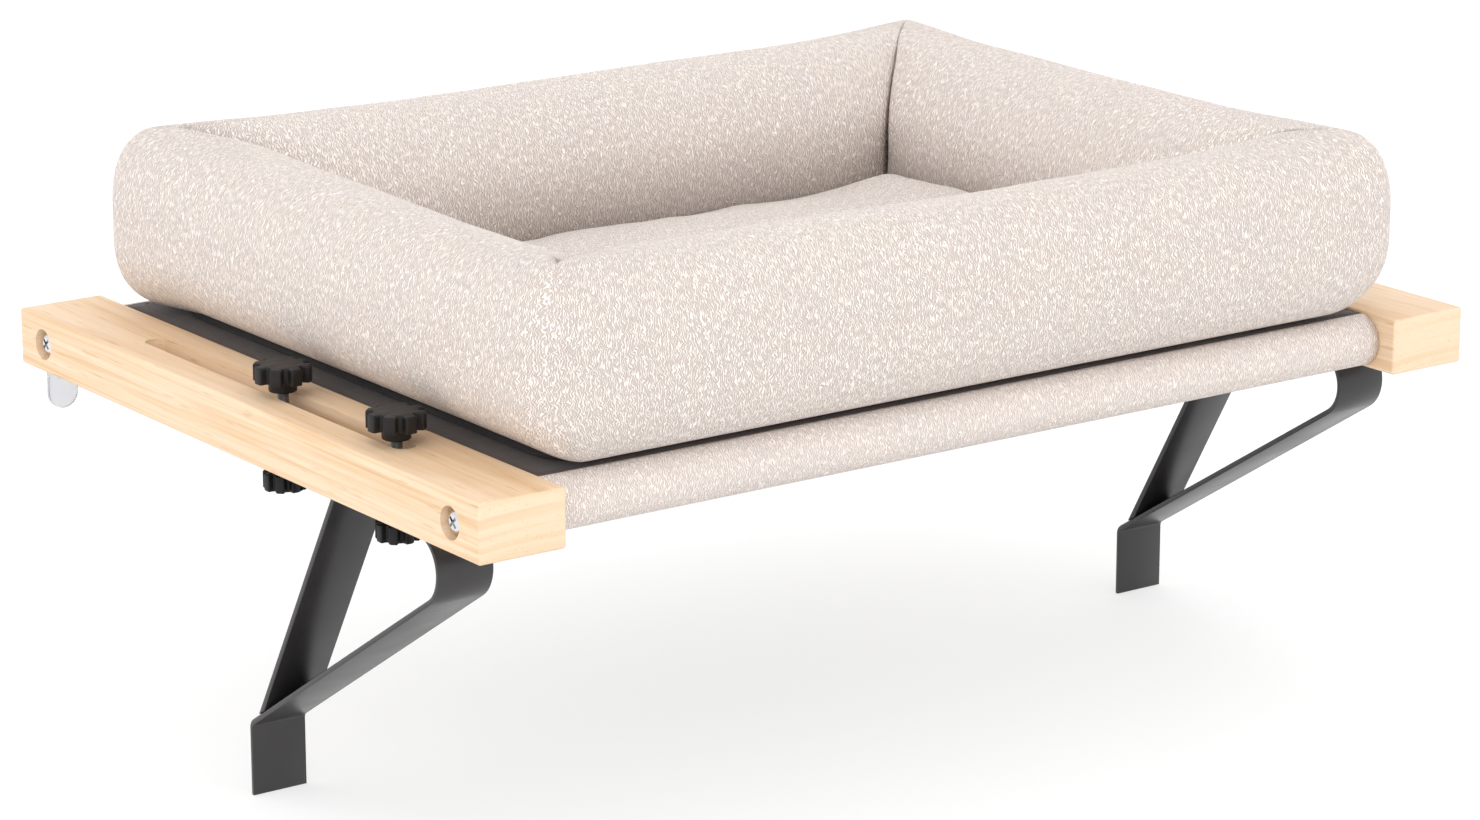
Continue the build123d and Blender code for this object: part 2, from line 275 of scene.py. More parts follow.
def clouds(tree, vector, scale, detail=2.0, roughness=0.5, distortion=0.0):
    sockets = {"Vector": vector, "Scale": scale, "Detail": detail, "Roughness": roughness,
               "Distortion": distortion}
    return node(tree, "ShaderNodeTexNoise", sockets).outputs["Fac"]


def srgb(red, green, blue):
    """A colour as seen on screen, from 0 to 255, as the linear colour that Blender works in."""
    channels = [c / 255 for c in (red, green, blue)]
    return tuple(c / 12.92 if c <= 0.04045 else ((c + 0.055) / 1.055) ** 2.4 for c in channels) + (1.0,)


def node_group(name, inputs, outputs, kind="ShaderNodeTree"):
    """A new node group with these named sockets, and the sockets of its input and output nodes."""
    tree = bpy.data.node_groups.new(name, kind)
    for way, sockets in (("INPUT", inputs), ("OUTPUT", outputs)):
        for label, type_name in sockets.items():
            tree.interface.new_socket(label, in_out=way, socket_type=f"NodeSocket{type_name}")
    given = tree.nodes.new("NodeGroupInput").outputs
    result = tree.nodes.new("NodeGroupOutput").inputs
    return tree, given, result


def make_wood_grain():
    """Growth layers and fibres along Y, in two tones, with short dark pores."""
    inputs = {"Vector": "Vector", "Pale": "Color", "Dark": "Color", "Pores": "Float", "Ends": "Float"}
    outputs = {"Color": "Color", "Roughness": "Float", "Height": "Float"}
    tree, given, result = node_group("wood grain", inputs, outputs)
    place = split(tree, given["Vector"])
    wander_scale, wander_depth = (9.0, 3.0, 9.0), 0.012
    layers_scale, layers_along, layers_across = 360.0, 5.0, 8.0
    fibre_scale, streak_scale, pore_scale = (900.0, 14.0, 900.0), (150.0, 9.0, 420.0), (520.0, 42.0, 520.0)
    wander = clouds(tree, scaled(tree, given["Vector"], wander_scale), 1.0, detail=1.0)
    squares = plus(tree, times(tree, place["X"], place["X"]), times(tree, place["Z"], place["Z"]))
    layer = plus(tree, math(tree, "SQRT", squares), times(tree, wander, wander_depth))
    layer_place = merged(tree, times(tree, layer, layers_scale), times(tree, place["Y"], layers_along),
                         times(tree, place["X"], layers_across))
    layers = clouds(tree, layer_place, 1.0, detail=2.5, roughness=0.55)
    fibres = clouds(tree, scaled(tree, given["Vector"], fibre_scale), 1.0, detail=2.0, roughness=0.6)
    streaks = clouds(tree, scaled(tree, given["Vector"], streak_scale), 1.0, detail=2.5, distortion=0.2)
    pores = clouds(tree, scaled(tree, given["Vector"], pore_scale), 1.0, detail=1.0)
    pore = times(tree, spread(tree, pores, 0.66, 0.74), given["Pores"])
    fibre_share = spread(tree, given["Ends"], 0.3, 0.8, 0.24, 0.10)
    streak_share = spread(tree, given["Ends"], 0.3, 0.8, 0.46, 0.06)
    streak_tone = times(tree, spread(tree, streaks, 0.46, 0.70), streak_share)
    fine_tone = plus(tree, times(tree, spread(tree, fibres, 0.38, 0.70), fibre_share), streak_tone)
    tone = plus(tree, times(tree, spread(tree, layers, 0.42, 0.70), 0.40), fine_tone)
    color = mixed(tree, tone, given["Pale"], given["Dark"])
    color = mixed(tree, times(tree, pore, 0.5), color, given["Dark"], blend="MULTIPLY")
    relief = math(tree, "SUBTRACT", fibres, times(tree, pore, 1.5))
    rough = spread(tree, fibres, 0.3, 0.7, 0.46, 0.60)
    fill(result, {"Color": color, "Roughness": rough, "Height": relief})
    return tree


def make_knit_relief():
    """Crinkled knit: short ridges that run along V, wander, break and cross, with hollows between them and a
    mask for the painted shade in those hollows.
    """
    tree, given, result = node_group(
        "knit relief", {"Vector": "Vector", "Ridge Width": "Float", "Ridge Length": "Float"},
        {"Height": "Float", "Hollow Shade": "Float", "Heather": "Float", "Warmth": "Float"})
    place = split(tree, given["Vector"])
    sway_width, sway_scale, sway_depth = 0.30, 1.1, 3.2
    knot_scale, ridge_share, patch_scale = 0.85, 0.20, 34.0
    across = math(tree, "DIVIDE", place["X"], given["Ridge Width"])
    along = math(tree, "DIVIDE", place["Y"], given["Ridge Length"])
    sway_place = merged(tree, times(tree, across, sway_width), along, place["Z"])
    sway = math(tree, "SUBTRACT", clouds(tree, sway_place, sway_scale, detail=1.0), 0.5)
    swayed = plus(tree, across, times(tree, sway, sway_depth))
    knot_place = merged(tree, swayed, along, place["Z"])
    knots = clouds(tree, knot_place, knot_scale, detail=1.6, roughness=0.6, distortion=0.35)
    wave = times(tree, math(tree, "SINE", times(tree, swayed, tau)), ridge_share)
    height = spread(tree, plus(tree, knots, wave), 0.37, 0.65)
    patches = scaled(tree, given["Vector"], (patch_scale, patch_scale, patch_scale))
    # The hollow mask places painted shade between the ridges
    fill(result, {"Height": height, "Hollow Shade": spread(tree, height, 0.0, 0.55, 1.0, 0.0),
                  "Heather": clouds(tree, patches, 1.0, detail=1.5),
                  "Warmth": clouds(tree, patches, 1.7, detail=1.0, distortion=0.3)})
    return tree


def make_plain_weave():
    """Flat cloth of over-and-under threads along U and V."""
    tree, given, result = node_group("plain weave", {"Vector": "Vector", "Thread": "Float"},
                                     {"Height": "Float", "Slub": "Float"})
    place = split(tree, given["Vector"])
    across = math(tree, "DIVIDE", place["X"], given["Thread"])
    along = math(tree, "DIVIDE", place["Y"], given["Thread"])
    warp = math(tree, "ABSOLUTE", math(tree, "SINE", times(tree, across, pi)))
    weft = math(tree, "ABSOLUTE", math(tree, "SINE", times(tree, along, pi)))
    square = plus(tree, math(tree, "FLOOR", across), math(tree, "FLOOR", along))
    over = math(tree, "ABSOLUTE", math(tree, "MODULO", square, 2.0))
    height = node(tree, "ShaderNodeMix", {0: over, 2: warp, 3: weft}, data_type="FLOAT").outputs[0]
    slub_place = scaled(tree, given["Vector"], (60.0, 700.0, 1.0))
    fill(result, {"Height": height, "Slub": clouds(tree, slub_place, 1.0, detail=2.0)})
    return tree


def make_fine_texture():
    """Tiny even bumps of a powder coat or a moulded surface, with faint larger clouds."""
    tree, given, result = node_group("fine texture", {"Vector": "Vector", "Grain": "Float"},
                                     {"Height": "Float", "Clouds": "Float"})
    grain = clouds(tree, given["Vector"], given["Grain"], detail=2.0, roughness=0.6)
    fill(result, {"Height": grain, "Clouds": clouds(tree, given["Vector"], 28.0, detail=2.0)})
    return tree


wood_grain = make_wood_grain()
knit_relief = make_knit_relief()
plain_weave = make_plain_weave()
fine_texture = make_fine_texture()


def set_named(shader, **values):
    """Fill sockets by name, with underscores for spaces."""
    fill(shader.inputs, {name.replace("_", " "): value for name, value in values.items()})


def plain_material(name):
    material = bpy.data.materials.new(name)
    material.use_nodes = True
    return material, material.node_tree, material.node_tree.nodes["Principled BSDF"]


def start_material(name, group, coordinate="Object", location=(0, 0, 0), turn=(0, 0, 0), **values):
    """A material with one placed effect group: the material, its tree, the shader and the outputs."""
    material, tree, shader = plain_material(name)
    source = node(tree, "ShaderNodeTexCoord").outputs[coordinate]
    placed = node(tree, "ShaderNodeMapping", {"Vector": source, "Location": location, "Rotation": turn})
    effect = node(tree, "ShaderNodeGroup", {"Vector": placed.outputs["Vector"]}, node_tree=group)
    set_named(effect, **values)
    return material, tree, shader, effect.outputs


def bump(tree, shader, height, strength, distance):
    made = node(tree, "ShaderNodeBump", {"Height": height, "Strength": strength, "Distance": distance})
    set_named(shader, Normal=made.outputs["Normal"])


def wood_material(name, pale, dark, location, turn=(0, 0, 0)):
    """Oiled pale wood, its grain placed and turned for the piece, and plainer on the ends."""
    material, tree, shader, grain = start_material(name, wood_grain, location=location, turn=turn,
                                                   Pale=pale, Dark=dark, Pores=0.7)
    normal = node(tree, "ShaderNodeTexCoord").outputs["Normal"]
    effect = next(part for part in tree.nodes if part.type == "GROUP")
    set_named(effect, Ends=math(tree, "ABSOLUTE", split(tree, normal)["Y"]))
    set_named(shader, Base_Color=grain["Color"], Roughness=grain["Roughness"], Specular_IOR_Level=0.35)
    bump(tree, shader, grain["Height"], 0.12, 0.0003)
    return material


def knit_material(name, pale, grey, warm, hollow, ridge_width, ridge_length, relief):
    """Crinkled knit in three close tones, with painted shade in its hollows and in its folds."""
    material, tree, shader, knit = start_material(name, knit_relief, coordinate="UV",
                                                  Ridge_Width=ridge_width, Ridge_Length=ridge_length)
    color = mixed(tree, spread(tree, knit["Heather"], 0.42, 0.62), pale, grey)
    color = mixed(tree, spread(tree, knit["Warmth"], 0.50, 0.70, 0.0, 0.8), color, warm)
    # Painted shade in the hollows between the knit's ridges, in the hollow colour
    color = mixed(tree, times(tree, knit["Hollow Shade"], 0.78), color, hollow)
    # Painted shade in the sewn gathers and at the foot of the inner walls darkens the knit's colour
    painted_shade = node(tree, "ShaderNodeAttribute", attribute_name="painted_shade").outputs["Fac"]
    color = mixed(tree, painted_shade, color, painted_shade_colour, blend="MULTIPLY")
    set_named(shader, Base_Color=color, Roughness=0.92, Specular_IOR_Level=0.15, Sheen_Weight=0.12,
              Sheen_Roughness=0.6)
    bump(tree, shader, knit["Height"], 0.75, relief)
    return material


def woven_material(name, thread, tint, lint, sheen):
    """Plain cloth of threads of this pitch, with paler lint."""
    material, tree, shader, weave = start_material(name, plain_weave, coordinate="UV", Thread=thread)
    color = mixed(tree, spread(tree, weave["Slub"], 0.35, 0.75), tint, lint)
    set_named(shader, Base_Color=color, Roughness=0.82, Specular_IOR_Level=0.25, Sheen_Weight=sheen,
              Sheen_Roughness=0.45)
    bump(tree, shader, weave["Height"], 0.35, thread * 0.3)
    return material


def coated_material(name, tint, worn, roughness, grain, bump_strength, specular=0.5):
    """Dark paint or plastic with a fine grain and faint clouds of a worn tone."""
    material, tree, shader, texture = start_material(name, fine_texture, Grain=grain)
    color = mixed(tree, spread(tree, texture["Clouds"], 0.35, 0.70), tint, worn)
    rough = spread(tree, texture["Clouds"], 0.3, 0.7, roughness - 0.04, roughness + 0.05)
    set_named(shader, Base_Color=color, Roughness=rough, Specular_IOR_Level=specular)
    bump(tree, shader, texture["Height"], bump_strength, 0.00012)
    return material


def metal_material(name, tint, roughness):
    """Plated steel, in clouds of its own tone and a duller one."""
    material, tree, shader, texture = start_material(name, fine_texture, Grain=1800.0)
    dull = tuple(c * 0.86 for c in tint[:3]) + (1,)
    color = mixed(tree, spread(tree, texture["Clouds"], 0.3, 0.7), tint, dull)
    rough = spread(tree, texture["Height"], 0.3, 0.7, roughness - 0.03, roughness + 0.06)
    set_named(shader, Base_Color=color, Roughness=rough, Metallic=1.0)
    return material


# Colour of the painted shade, multiplied into the knit in sewn gathers and at the foot of the bed's inner
# walls
painted_shade_colour = srgb(150, 136, 128)
pale_wood = srgb(239, 213, 184)
wood_streak = srgb(217, 179, 134)
rail_wood = {side: wood_material(f"{side} rail wood", pale_wood, wood_streak, (x, 0.13, z))
             for side, x, z in (("left", 0.262, 0.300), ("right", -0.300, 0.340))}
rod_wood = wood_material("rod wood", srgb(236, 205, 165), srgb(214, 172, 126), (0.06, 0, 0.04),
                         turn=(0, 0, pi / 2))
# The last colour of each knit is its painted shade in the hollows between the ridges
bolster_knit = knit_material("bolster knit", srgb(254, 245, 238), srgb(252, 243, 238), srgb(254, 244, 235),
                             srgb(187, 170, 161), 0.0014, 0.0027, 0.0015)
sleeve_knit = knit_material("sleeve knit", srgb(252, 242, 235), srgb(249, 240, 235), srgb(252, 241, 232),
                            srgb(199, 184, 176), 0.0013, 0.0023, 0.0010)
sling_cloth = woven_material("sling cloth", 0.0007, srgb(78, 70, 68), srgb(90, 82, 79), 0.15)
base_cloth = woven_material("bed base cloth", 0.0009, srgb(40, 37, 38), srgb(54, 50, 50), 0.15)
sewing_thread = woven_material("sewing thread", 0.0003, srgb(78, 71, 69), srgb(92, 84, 80), 0.2)
bracket_paint = coated_material("bracket powder coat", srgb(47, 45, 47), srgb(54, 52, 53), roughness=0.31,
                                grain=2600.0, bump_strength=0.08)
knob_plastic = coated_material("star knob plastic", srgb(27, 25, 25), srgb(34, 31, 31), roughness=0.48,
                               grain=3200.0, bump_strength=0.20, specular=0.30)
screw_plate = metal_material("bright screw plate", srgb(236, 237, 239), 0.14)
stud_zinc = metal_material("zinc stud", srgb(150, 149, 150), 0.32)


def make_clear_plastic():
    """Clear plastic that lets most light through and keeps a faint haze."""
    material, tree, shader, texture = start_material("clear stop plastic", fine_texture, Grain=900.0)
    color = mixed(tree, spread(tree, texture["Clouds"], 0.3, 0.7), srgb(237, 237, 241), srgb(231, 231, 235))
    set_named(shader, Base_Color=color, Roughness=0.15, IOR=1.49, Transmission_Weight=0.80)
    bump(tree, shader, texture["Height"], 0.05, 0.0001)
    return material


clear_plastic = make_clear_plastic()


def add_object(name, data):
    added = bpy.data.objects.new(name, data)
    scene.collection.objects.link(added)
    return added


def add_piece(name, mesh, material, body, slot, *stands_for):
    """Put a finished mesh in the scene as a piece that rides on a body and stands for CAD nodes."""
    piece = add_object(name, mesh)
    mesh.materials.clear()
    mesh.materials.append(material)
    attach(piece, body)
    if stands_for:
        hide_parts(*stands_for)
    return piece


def mesh_from(name, points, faces, smooth=True):
    mesh = bpy.data.meshes.new(name)
    mesh.from_pydata(points, [], faces)
    mesh.update()
    for face in mesh.polygons:
        face.use_smooth = smooth
    return mesh


def face_outwards(mesh):
    work = bmesh.new()
    work.from_mesh(mesh)
    bmesh.ops.recalc_face_normals(work, faces=work.faces)
    work.to_mesh(mesh)
    work.free()


def set_uvs(mesh, places):
    """Give each face corner its place on the flat cloth, in metres."""
    layer = mesh.uv_layers.new(name="UVMap")
    for loop_index, place in enumerate(places):
        layer.data[loop_index].uv = place


def subdivide(piece):
    modifier = piece.modifiers.new("subdivision", "SUBSURF")
    modifier.levels = 1
    modifier.render_levels = 1


def inflate(piece, held, swell):
    """Stuff the piece: blow it up as cloth, its held points fixed, and keep its way out up to swell."""
    rest = [v.co.copy() for v in piece.data.vertices]
    group = piece.vertex_groups.new(name="held")
    group.add(held, 1.0, "REPLACE")
    cloth = piece.modifiers.new("stuffing", "CLOTH")
    cloth.settings.use_pressure = True
    cloth.settings.uniform_pressure_force = stuffing_pressure
    cloth.settings.vertex_group_mass = "held"
    cloth.settings.effector_weights.gravity = 0
    cloth.point_cache.frame_start = 1
    cloth.point_cache.frame_end = stuffing_frames
    for step in range(1, stuffing_frames + 1):
        scene.frame_set(step)
    blown = piece.evaluated_get(bpy.context.evaluated_depsgraph_get()).to_mesh()
    moved = [v.co.copy() for v in blown.vertices]
    piece.evaluated_get(bpy.context.evaluated_depsgraph_get()).to_mesh_clear()
    piece.modifiers.remove(cloth)
    piece.vertex_groups.remove(group)
    ways = [end - start for start, end in zip(rest, moved)]
    ways = [way * min(swell / max(way.length, 1e-9), 1.0) for way in ways]
    neighbours = [[] for _ in rest]
    for edge in piece.data.edges:
        first, second = edge.vertices
        neighbours[first].append(second)
        neighbours[second].append(first)
    still = set(held)
    for _ in range(stuffing_evenings):
        evened = []
        for index, way in enumerate(ways):
            near = neighbours[index]
            mean = (way + sum((ways[other] for other in near), Vector())) / (1 + len(near))
            evened.append(way if index in still else mean)
        ways = evened
    for vertex, start, way in zip(piece.data.vertices, rest, ways):
        vertex.co = start + way
    scene.frame_set(1)


def section_points():
    """Points round a bolster's section, as (distance in from the outer side, height), evenly spaced."""
    height = bed_top - bolster_bottom
    corners = ((0, 0, outer_foot, pi), (0, height, outer_top, pi / 2),
               (bolster_width, height, inner_top, 0), (bolster_width, 0, inner_foot, -pi / 2))
    dense = []
    for x, z, (wide, tall, fullness), end_angle in corners:
        cx = x + (wide if x == 0 else -wide)
        cz = z + (tall if z == 0 else -tall)
        for step in range(section_corner_steps + 1):
            angle = end_angle + pi / 2 * (1 - step / section_corner_steps)
            across, upward = cos(angle), sin(angle)
            dense.append((cx + wide * copysign(abs(across) ** (2 / fullness), across),
                          cz + tall * copysign(abs(upward) ** (2 / fullness), upward)))
    dense.append(dense[0])
    lengths = [0.0]
    for a, b in zip(dense, dense[1:]):
        lengths.append(lengths[-1] + hypot(b[0] - a[0], b[1] - a[1]))
    count = round(lengths[-1] / mesh_step)
    even, index = [], 0
    for k in range(count):
        want = lengths[-1] * k / count
        while lengths[index + 1] < want:
            index += 1
        share = (want - lengths[index]) / max(lengths[index + 1] - lengths[index], 1e-9)
        a, b = dense[index], dense[index + 1]
        even.append((a[0] + (b[0] - a[0]) * share, a[1] + (b[1] - a[1]) * share))
    return even, lengths[-1] / count


bed_nodes = ["front_bolster", "rear_bolster", "left_bolster", "right_bolster"]
bed_boxes = [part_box(name) for name in bed_nodes]
bed_low = Vector([min(low[i] for low, _ in bed_boxes) for i in range(3)])
bed_high = Vector([max(high[i] for _, high in bed_boxes) for i in range(3)])
bed_middle = (bed_low + bed_high) / 2
start_fullness = cover_fullness - swell_allowance
half_width = (bed_high.x - bed_low.x) / 2 + start_fullness
half_depth = (bed_high.y - bed_low.y) / 2 + start_fullness
bolster_bottom = bed_low.z
bed_top = bed_high.z + start_fullness


def along_run(inset, share, half_along):
    """Place on a run, a share of the way to its mitre: (along, in from the outer side, whole way)."""
    turn_at = half_along - bed_corner_radius
    bend = max(bed_corner_radius - inset, 0.0)
    straight = turn_at if bend > 0 else half_along - inset
    total = straight + bend * pi / 4
    way = total * share
    if way <= straight or bend == 0:
        return way, inset, total
    angle = (way - straight) / bend
    return turn_at + bend * sin(angle), bed_corner_radius - bend * cos(angle), total


def places_along_run(length):
    """Column places on a run, from -1 at one seam to 1 at the next, close together at the seams."""
    ways, step = [0.0], seam_mesh_step
    while ways[-1] + step < length:
        ways.append(ways[-1] + step)
        step = min(step * seam_mesh_growth, mesh_step)
    stretch = length / (ways[-1] + step / 2)
    half = [way * stretch / length - 1 for way in ways]
    return half + [-place for place in reversed(half[1:])] + [1.0]


def drawn_in(from_seam, inset, height, corner):
    """How far the sewn mitre pulls the cover in, at a distance from the seam."""
    sewn = clamped((inset - seam_start) / seam_start_fade)
    opened = clamped((inset - seam_full[corner]) / seam_opening)
    foot = clamped(height / inner_foot[1])
    tight = sewn * seam_shallow + opened * foot * (seam_depth - seam_shallow)
    tight *= exp(-from_seam / seam_softness[corner])
    pocket = pocket_depth * bell(from_seam / pocket_reach, (height - pocket_height) / pocket_rise)
    if corner in gathers and height > inner_foot[1]:
        middle, reach, depth, width = gathers[corner]
        tight += depth * bell((inset - middle) / reach, from_seam / width)
    hollow = seam_hollow[corner] * bell(from_seam / seam_hollow_reach[corner])
    return tight + opened * (pocket + foot * hollow)


def fold_shade(from_seam, inset, height, corner):
    """How dark the painted shade lies, from 0 to 1, in a sewn gather and at the foot of the inner walls."""
    shade = 0.0
    if inset > bolster_width / 2:
        low_down = (foot_shade_high - height) / (foot_shade_high - foot_shade_low)
        shade = foot_shade_share * clamped(low_down)
    if corner in fold_shades and height > inner_foot[1]:
        middle, reach, width = fold_shades[corner]
        shade = max(shade, bell((inset - middle) / reach, from_seam / width))
    return shade


def tucked(spot):
    """Move a point of the ring's foot towards the bed's middle, most at the two ends."""
    low = max(1 - (spot.z - bolster_bottom) / tuck_height, 0.0) ** 2
    at_rear = clamped((half_depth + bed_middle.y - spot.y) / tuck_from_rear)
    for axis, half, tuck in ((0, half_width, side_tuck * at_rear), (1, half_depth, front_tuck)):
        out = spot[axis] - bed_middle[axis]
        near_rim = clamped(1 - (half - abs(out) - tuck_straight) / tuck_fade)
        spot[axis] -= copysign(tuck * low * near_rim, out)
    return spot


def stuffed_lift(spot, inward, from_seam, inset, height):
    """How far the stuffing lifts the cover: its lumps, the full corners, and the sag of two crests."""
    soft = noise.noise(spot / unevenness_size + unevenness_shift)
    soft += fine_unevenness_share * noise.noise(spot / (unevenness_size * fine_unevenness_scale))
    lift = unevenness * soft * min(height / unevenness_foot, 1.0)
    high_up = max(height / (bed_top - bolster_bottom) - 0.5, 0.0) * 2
    from_corner = hypot(from_seam, inset - corner_reach)
    lift += corner_fullness * high_up * bell(from_corner / corner_reach)
    sag = 0.0
    if inward.x > 0.5:
        sag = (left_crest_sag[0] - spot.y) / left_crest_sag[1]
    elif inward.y > 0.5:
        sag = (front_crest_sag[0] + spot.x) / front_crest_sag[1]
    sag = clamped(sag) * min(from_seam / crest_start, 1.0) * high_up
    return lift - crest_drop * sag * bell((inset - crest) / crest_reach)


def section_normals(section):
    """Unit normals (across, up) of the section, each square to the chord of its neighbours."""
    normals = []
    for before, after in zip(section[-1:] + section[:-1], section[1:] + section[:1]):
        dx, dz = after[0] - before[0], after[1] - before[1]
        size = hypot(dx, dz)
        normals.append((-dz / size, dx / size))
    return normals


def make_bolster_ring():
    """One ring of four bolsters, drawn in at the sewn mitres on top and inside, and smooth outside."""
    section, v_step = section_points()
    rows = len(section)
    normals = section_normals(section)
    runs = [Vector(way) for way in ((1, 0, 0), (0, 1, 0), (-1, 0, 0), (0, -1, 0))]
    halves = (half_width, half_depth)
    centre = Vector((bed_middle.x, bed_middle.y, bolster_bottom))
    points, shades, seams, run_columns = [], [], [], []
    start = 0.0
    for number, run in enumerate(runs):
        inward = runs[(number + 1) % 4]
        half_along, half_across = halves[number % 2], halves[1 - number % 2]
        outer_total = along_run(0.0, 1.0, half_along)[2]
        columns = []
        for place in places_along_run(half_along - bolster_width / 2):
            side = -1 if place < 0 else 1
            corner = (number + (place > 0)) % 4
            column = []
            for (inset, height), away in zip(section, normals):
                total = along_run(inset, 1.0, half_along)[2]
                from_seam = total * (1 - abs(place))
                drawn = drawn_in(from_seam, inset, height, corner)
                way, across, _ = along_run(inset - away[0] * drawn, abs(place), half_along)
                rise = Vector((0, 0, height - away[1] * drawn))
                spot = centre - inward * (half_across - across) + run * (side * way) + rise
                lift = stuffed_lift(spot, inward, from_seam, inset, height)
                spot += (inward * away[0] + Vector((0, 0, away[1]))) * lift
                shade = fold_shade(from_seam, inset, height, corner)
                unsewn = clamped(1 - (inset - seam_start) / seam_opening)
                joined = unsewn * max(1 - from_seam / knit_ease, 0.0)
                flat_way = total * abs(place) + (outer_total - total) * joined
                column.append((tucked(spot), start + outer_total + side * flat_way, shade))
            columns.append(column)
        base = len(points)
        for column in columns[:-1]:
            points += [spot for spot, _, _ in column]
            shades += [shade for _, _, shade in column]
        for offset, corner in ((0, number), (rows, number), ((len(columns) - 2) * rows, (number + 1) % 4)):
            seams += [base + offset + k for k, (inset, height) in enumerate(section)
                      if inset > seam_full[corner] or height < held_height]
        run_columns.append((base, [[u for _, u, _ in column] for column in columns]))
        start += 2 * outer_total
    faces, places = [], []
    for base, flat in run_columns:
        for c in range(len(flat) - 1):
            here = base + c * rows
            there = (here + rows) % len(points)
            for k in range(rows):
                up = (k + 1) % rows
                faces.append((here + k, there + k, there + up, here + up))
                low_v, high_v = k * v_step, (k + 1) * v_step
                places += [(flat[c][k], low_v), (flat[c + 1][k], low_v),
                           (flat[c + 1][up], high_v), (flat[c][up], high_v)]
    mesh = mesh_from("bolster ring", points, faces)
    # Per point, how much painted shade the knit takes on, in gathers and at the foot of the inner walls
    mesh.attributes.new("painted_shade", "FLOAT", "POINT").data.foreach_set("value", shades)
    set_uvs(mesh, places)
    return mesh, seams


ring_mesh, ring_seams = make_bolster_ring()
bolster_ring = add_piece("bolster_ring", ring_mesh, bolster_knit, "bed", "bed_fabric", *bed_nodes)
resting = [v.index for v in ring_mesh.vertices if v.co.z < bolster_bottom + resting_height]
inflate(bolster_ring, sorted(set(ring_seams + resting)), bolster_swell)
subdivide(bolster_ring)


def make_base_cushion():
    """Floor pad with a soft crown, a rounded rim and puckers where its edge is sewn to the bolsters."""
    low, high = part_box("base_cushion")
    middle = (Vector(low) + Vector(high)) / 2
    half_x = (high[0] - low[0]) / 2
    half_y = (high[1] - low[1]) / 2
    columns = round(2 * half_x / mesh_step)
    rows = round(2 * half_y / mesh_step)

    def plan(i, j):
        """Plan place of a grid point on the rounded rectangle, and how far it is in from the edge."""
        x = half_x * (2 * i / columns - 1)
        y = half_y * (2 * j / rows - 1)
        over_x = abs(x) - (half_x - cushion_corner_radius)
        over_y = abs(y) - (half_y - cushion_corner_radius)
        if over_x > 0 and over_y > 0:
            shrink = max(over_x, over_y) / hypot(over_x, over_y)
            over_x, over_y = over_x * shrink, over_y * shrink
            x = copysign(half_x - cushion_corner_radius + over_x, x)
            y = copysign(half_y - cushion_corner_radius + over_y, y)
            return x, y, cushion_corner_radius - hypot(over_x, over_y)
        return x, y, min(half_x - abs(x), half_y - abs(y))

    def rounding(edge, radius):
        """Height of a quarter-round rim as a share of its radius, this far in from the edge."""
        return sqrt(max(1 - (1 - min(edge / radius, 1.0)) ** 2, 0.0))

    points, top, bottom = [], {}, {}
    for j in range(rows + 1):
        for i in range(columns + 1):
            x, y, edge = plan(i, j)
            round_way = atan2(y / half_y, x / half_x)
            spot = Vector((cos(round_way) * half_x, sin(round_way) * half_y, 0)) / pucker_length
            pucker = noise.noise(spot * pucker_pitch + Vector((0.4, 2.2, 0.7)))
            pucker += fine_pucker_share * noise.noise(spot * fine_pucker_pitch + Vector((7.4, 1.2, 0.7)))
            lift = pucker_height * pucker * exp(-edge / pucker_reach)
            crown = cushion_crown * (1 - (x / half_x) ** 2) * (1 - (y / half_y) ** 2)
            rough = cushion_roughness * noise.noise(Vector((x, y, 0)) / cushion_roughness_size)
            side_share = max(1 - (half_x - abs(x)) / cushion_side_reach, 0.0)
            side_share *= 1 - max(abs(y) / half_y - cushion_side_fade, 0.0) / (1 - cushion_side_fade)
            height = cushion_rim_height + (cushion_shoulder + lift) * rounding(edge, cushion_edge_radius)
            height += crown + rough + cushion_side_lift * side_share ** 2 * (3 - 2 * side_share)
            foot = low[2] + cushion_foot_radius * (1 - rounding(edge, cushion_foot_radius))
            top[i, j] = len(points)
            points.append(Vector((middle.x + x, middle.y + y, height)))
            bottom[i, j] = len(points)
            points.append(Vector((middle.x + x, middle.y + y, foot)))
    faces = []
    for j in range(rows):
        for i in range(columns):
            faces.append((top[i, j], top[i + 1, j], top[i + 1, j + 1], top[i, j + 1]))
            faces.append((bottom[i, j], bottom[i, j + 1], bottom[i + 1, j + 1], bottom[i + 1, j]))
    rim = [(i, 0) for i in range(columns)] + [(columns, j) for j in range(rows)]
    rim += [(i, rows) for i in range(columns, 0, -1)] + [(0, j) for j in range(rows, 0, -1)]
    for here, there in zip(rim, rim[1:] + rim[:1]):
        faces.append((bottom[here], bottom[there], top[there], top[here]))
    mesh = mesh_from("base cushion", points, faces)
    face_outwards(mesh)
    flat = [(vertex.co.x, vertex.co.y + vertex.co.z) for vertex in mesh.vertices]
    set_uvs(mesh, [flat[loop.vertex_index] for loop in mesh.loops])
    held = [top[spot] for spot in rim] + list(bottom.values())
    return mesh, held


cushion_mesh, cushion_held = make_base_cushion()
base_cushion = add_piece("floor_cushion", cushion_mesh, bolster_knit, "bed", "bed_fabric", "base_cushion")
inflate(base_cushion, cushion_held, cushion_swell)
subdivide(base_cushion)


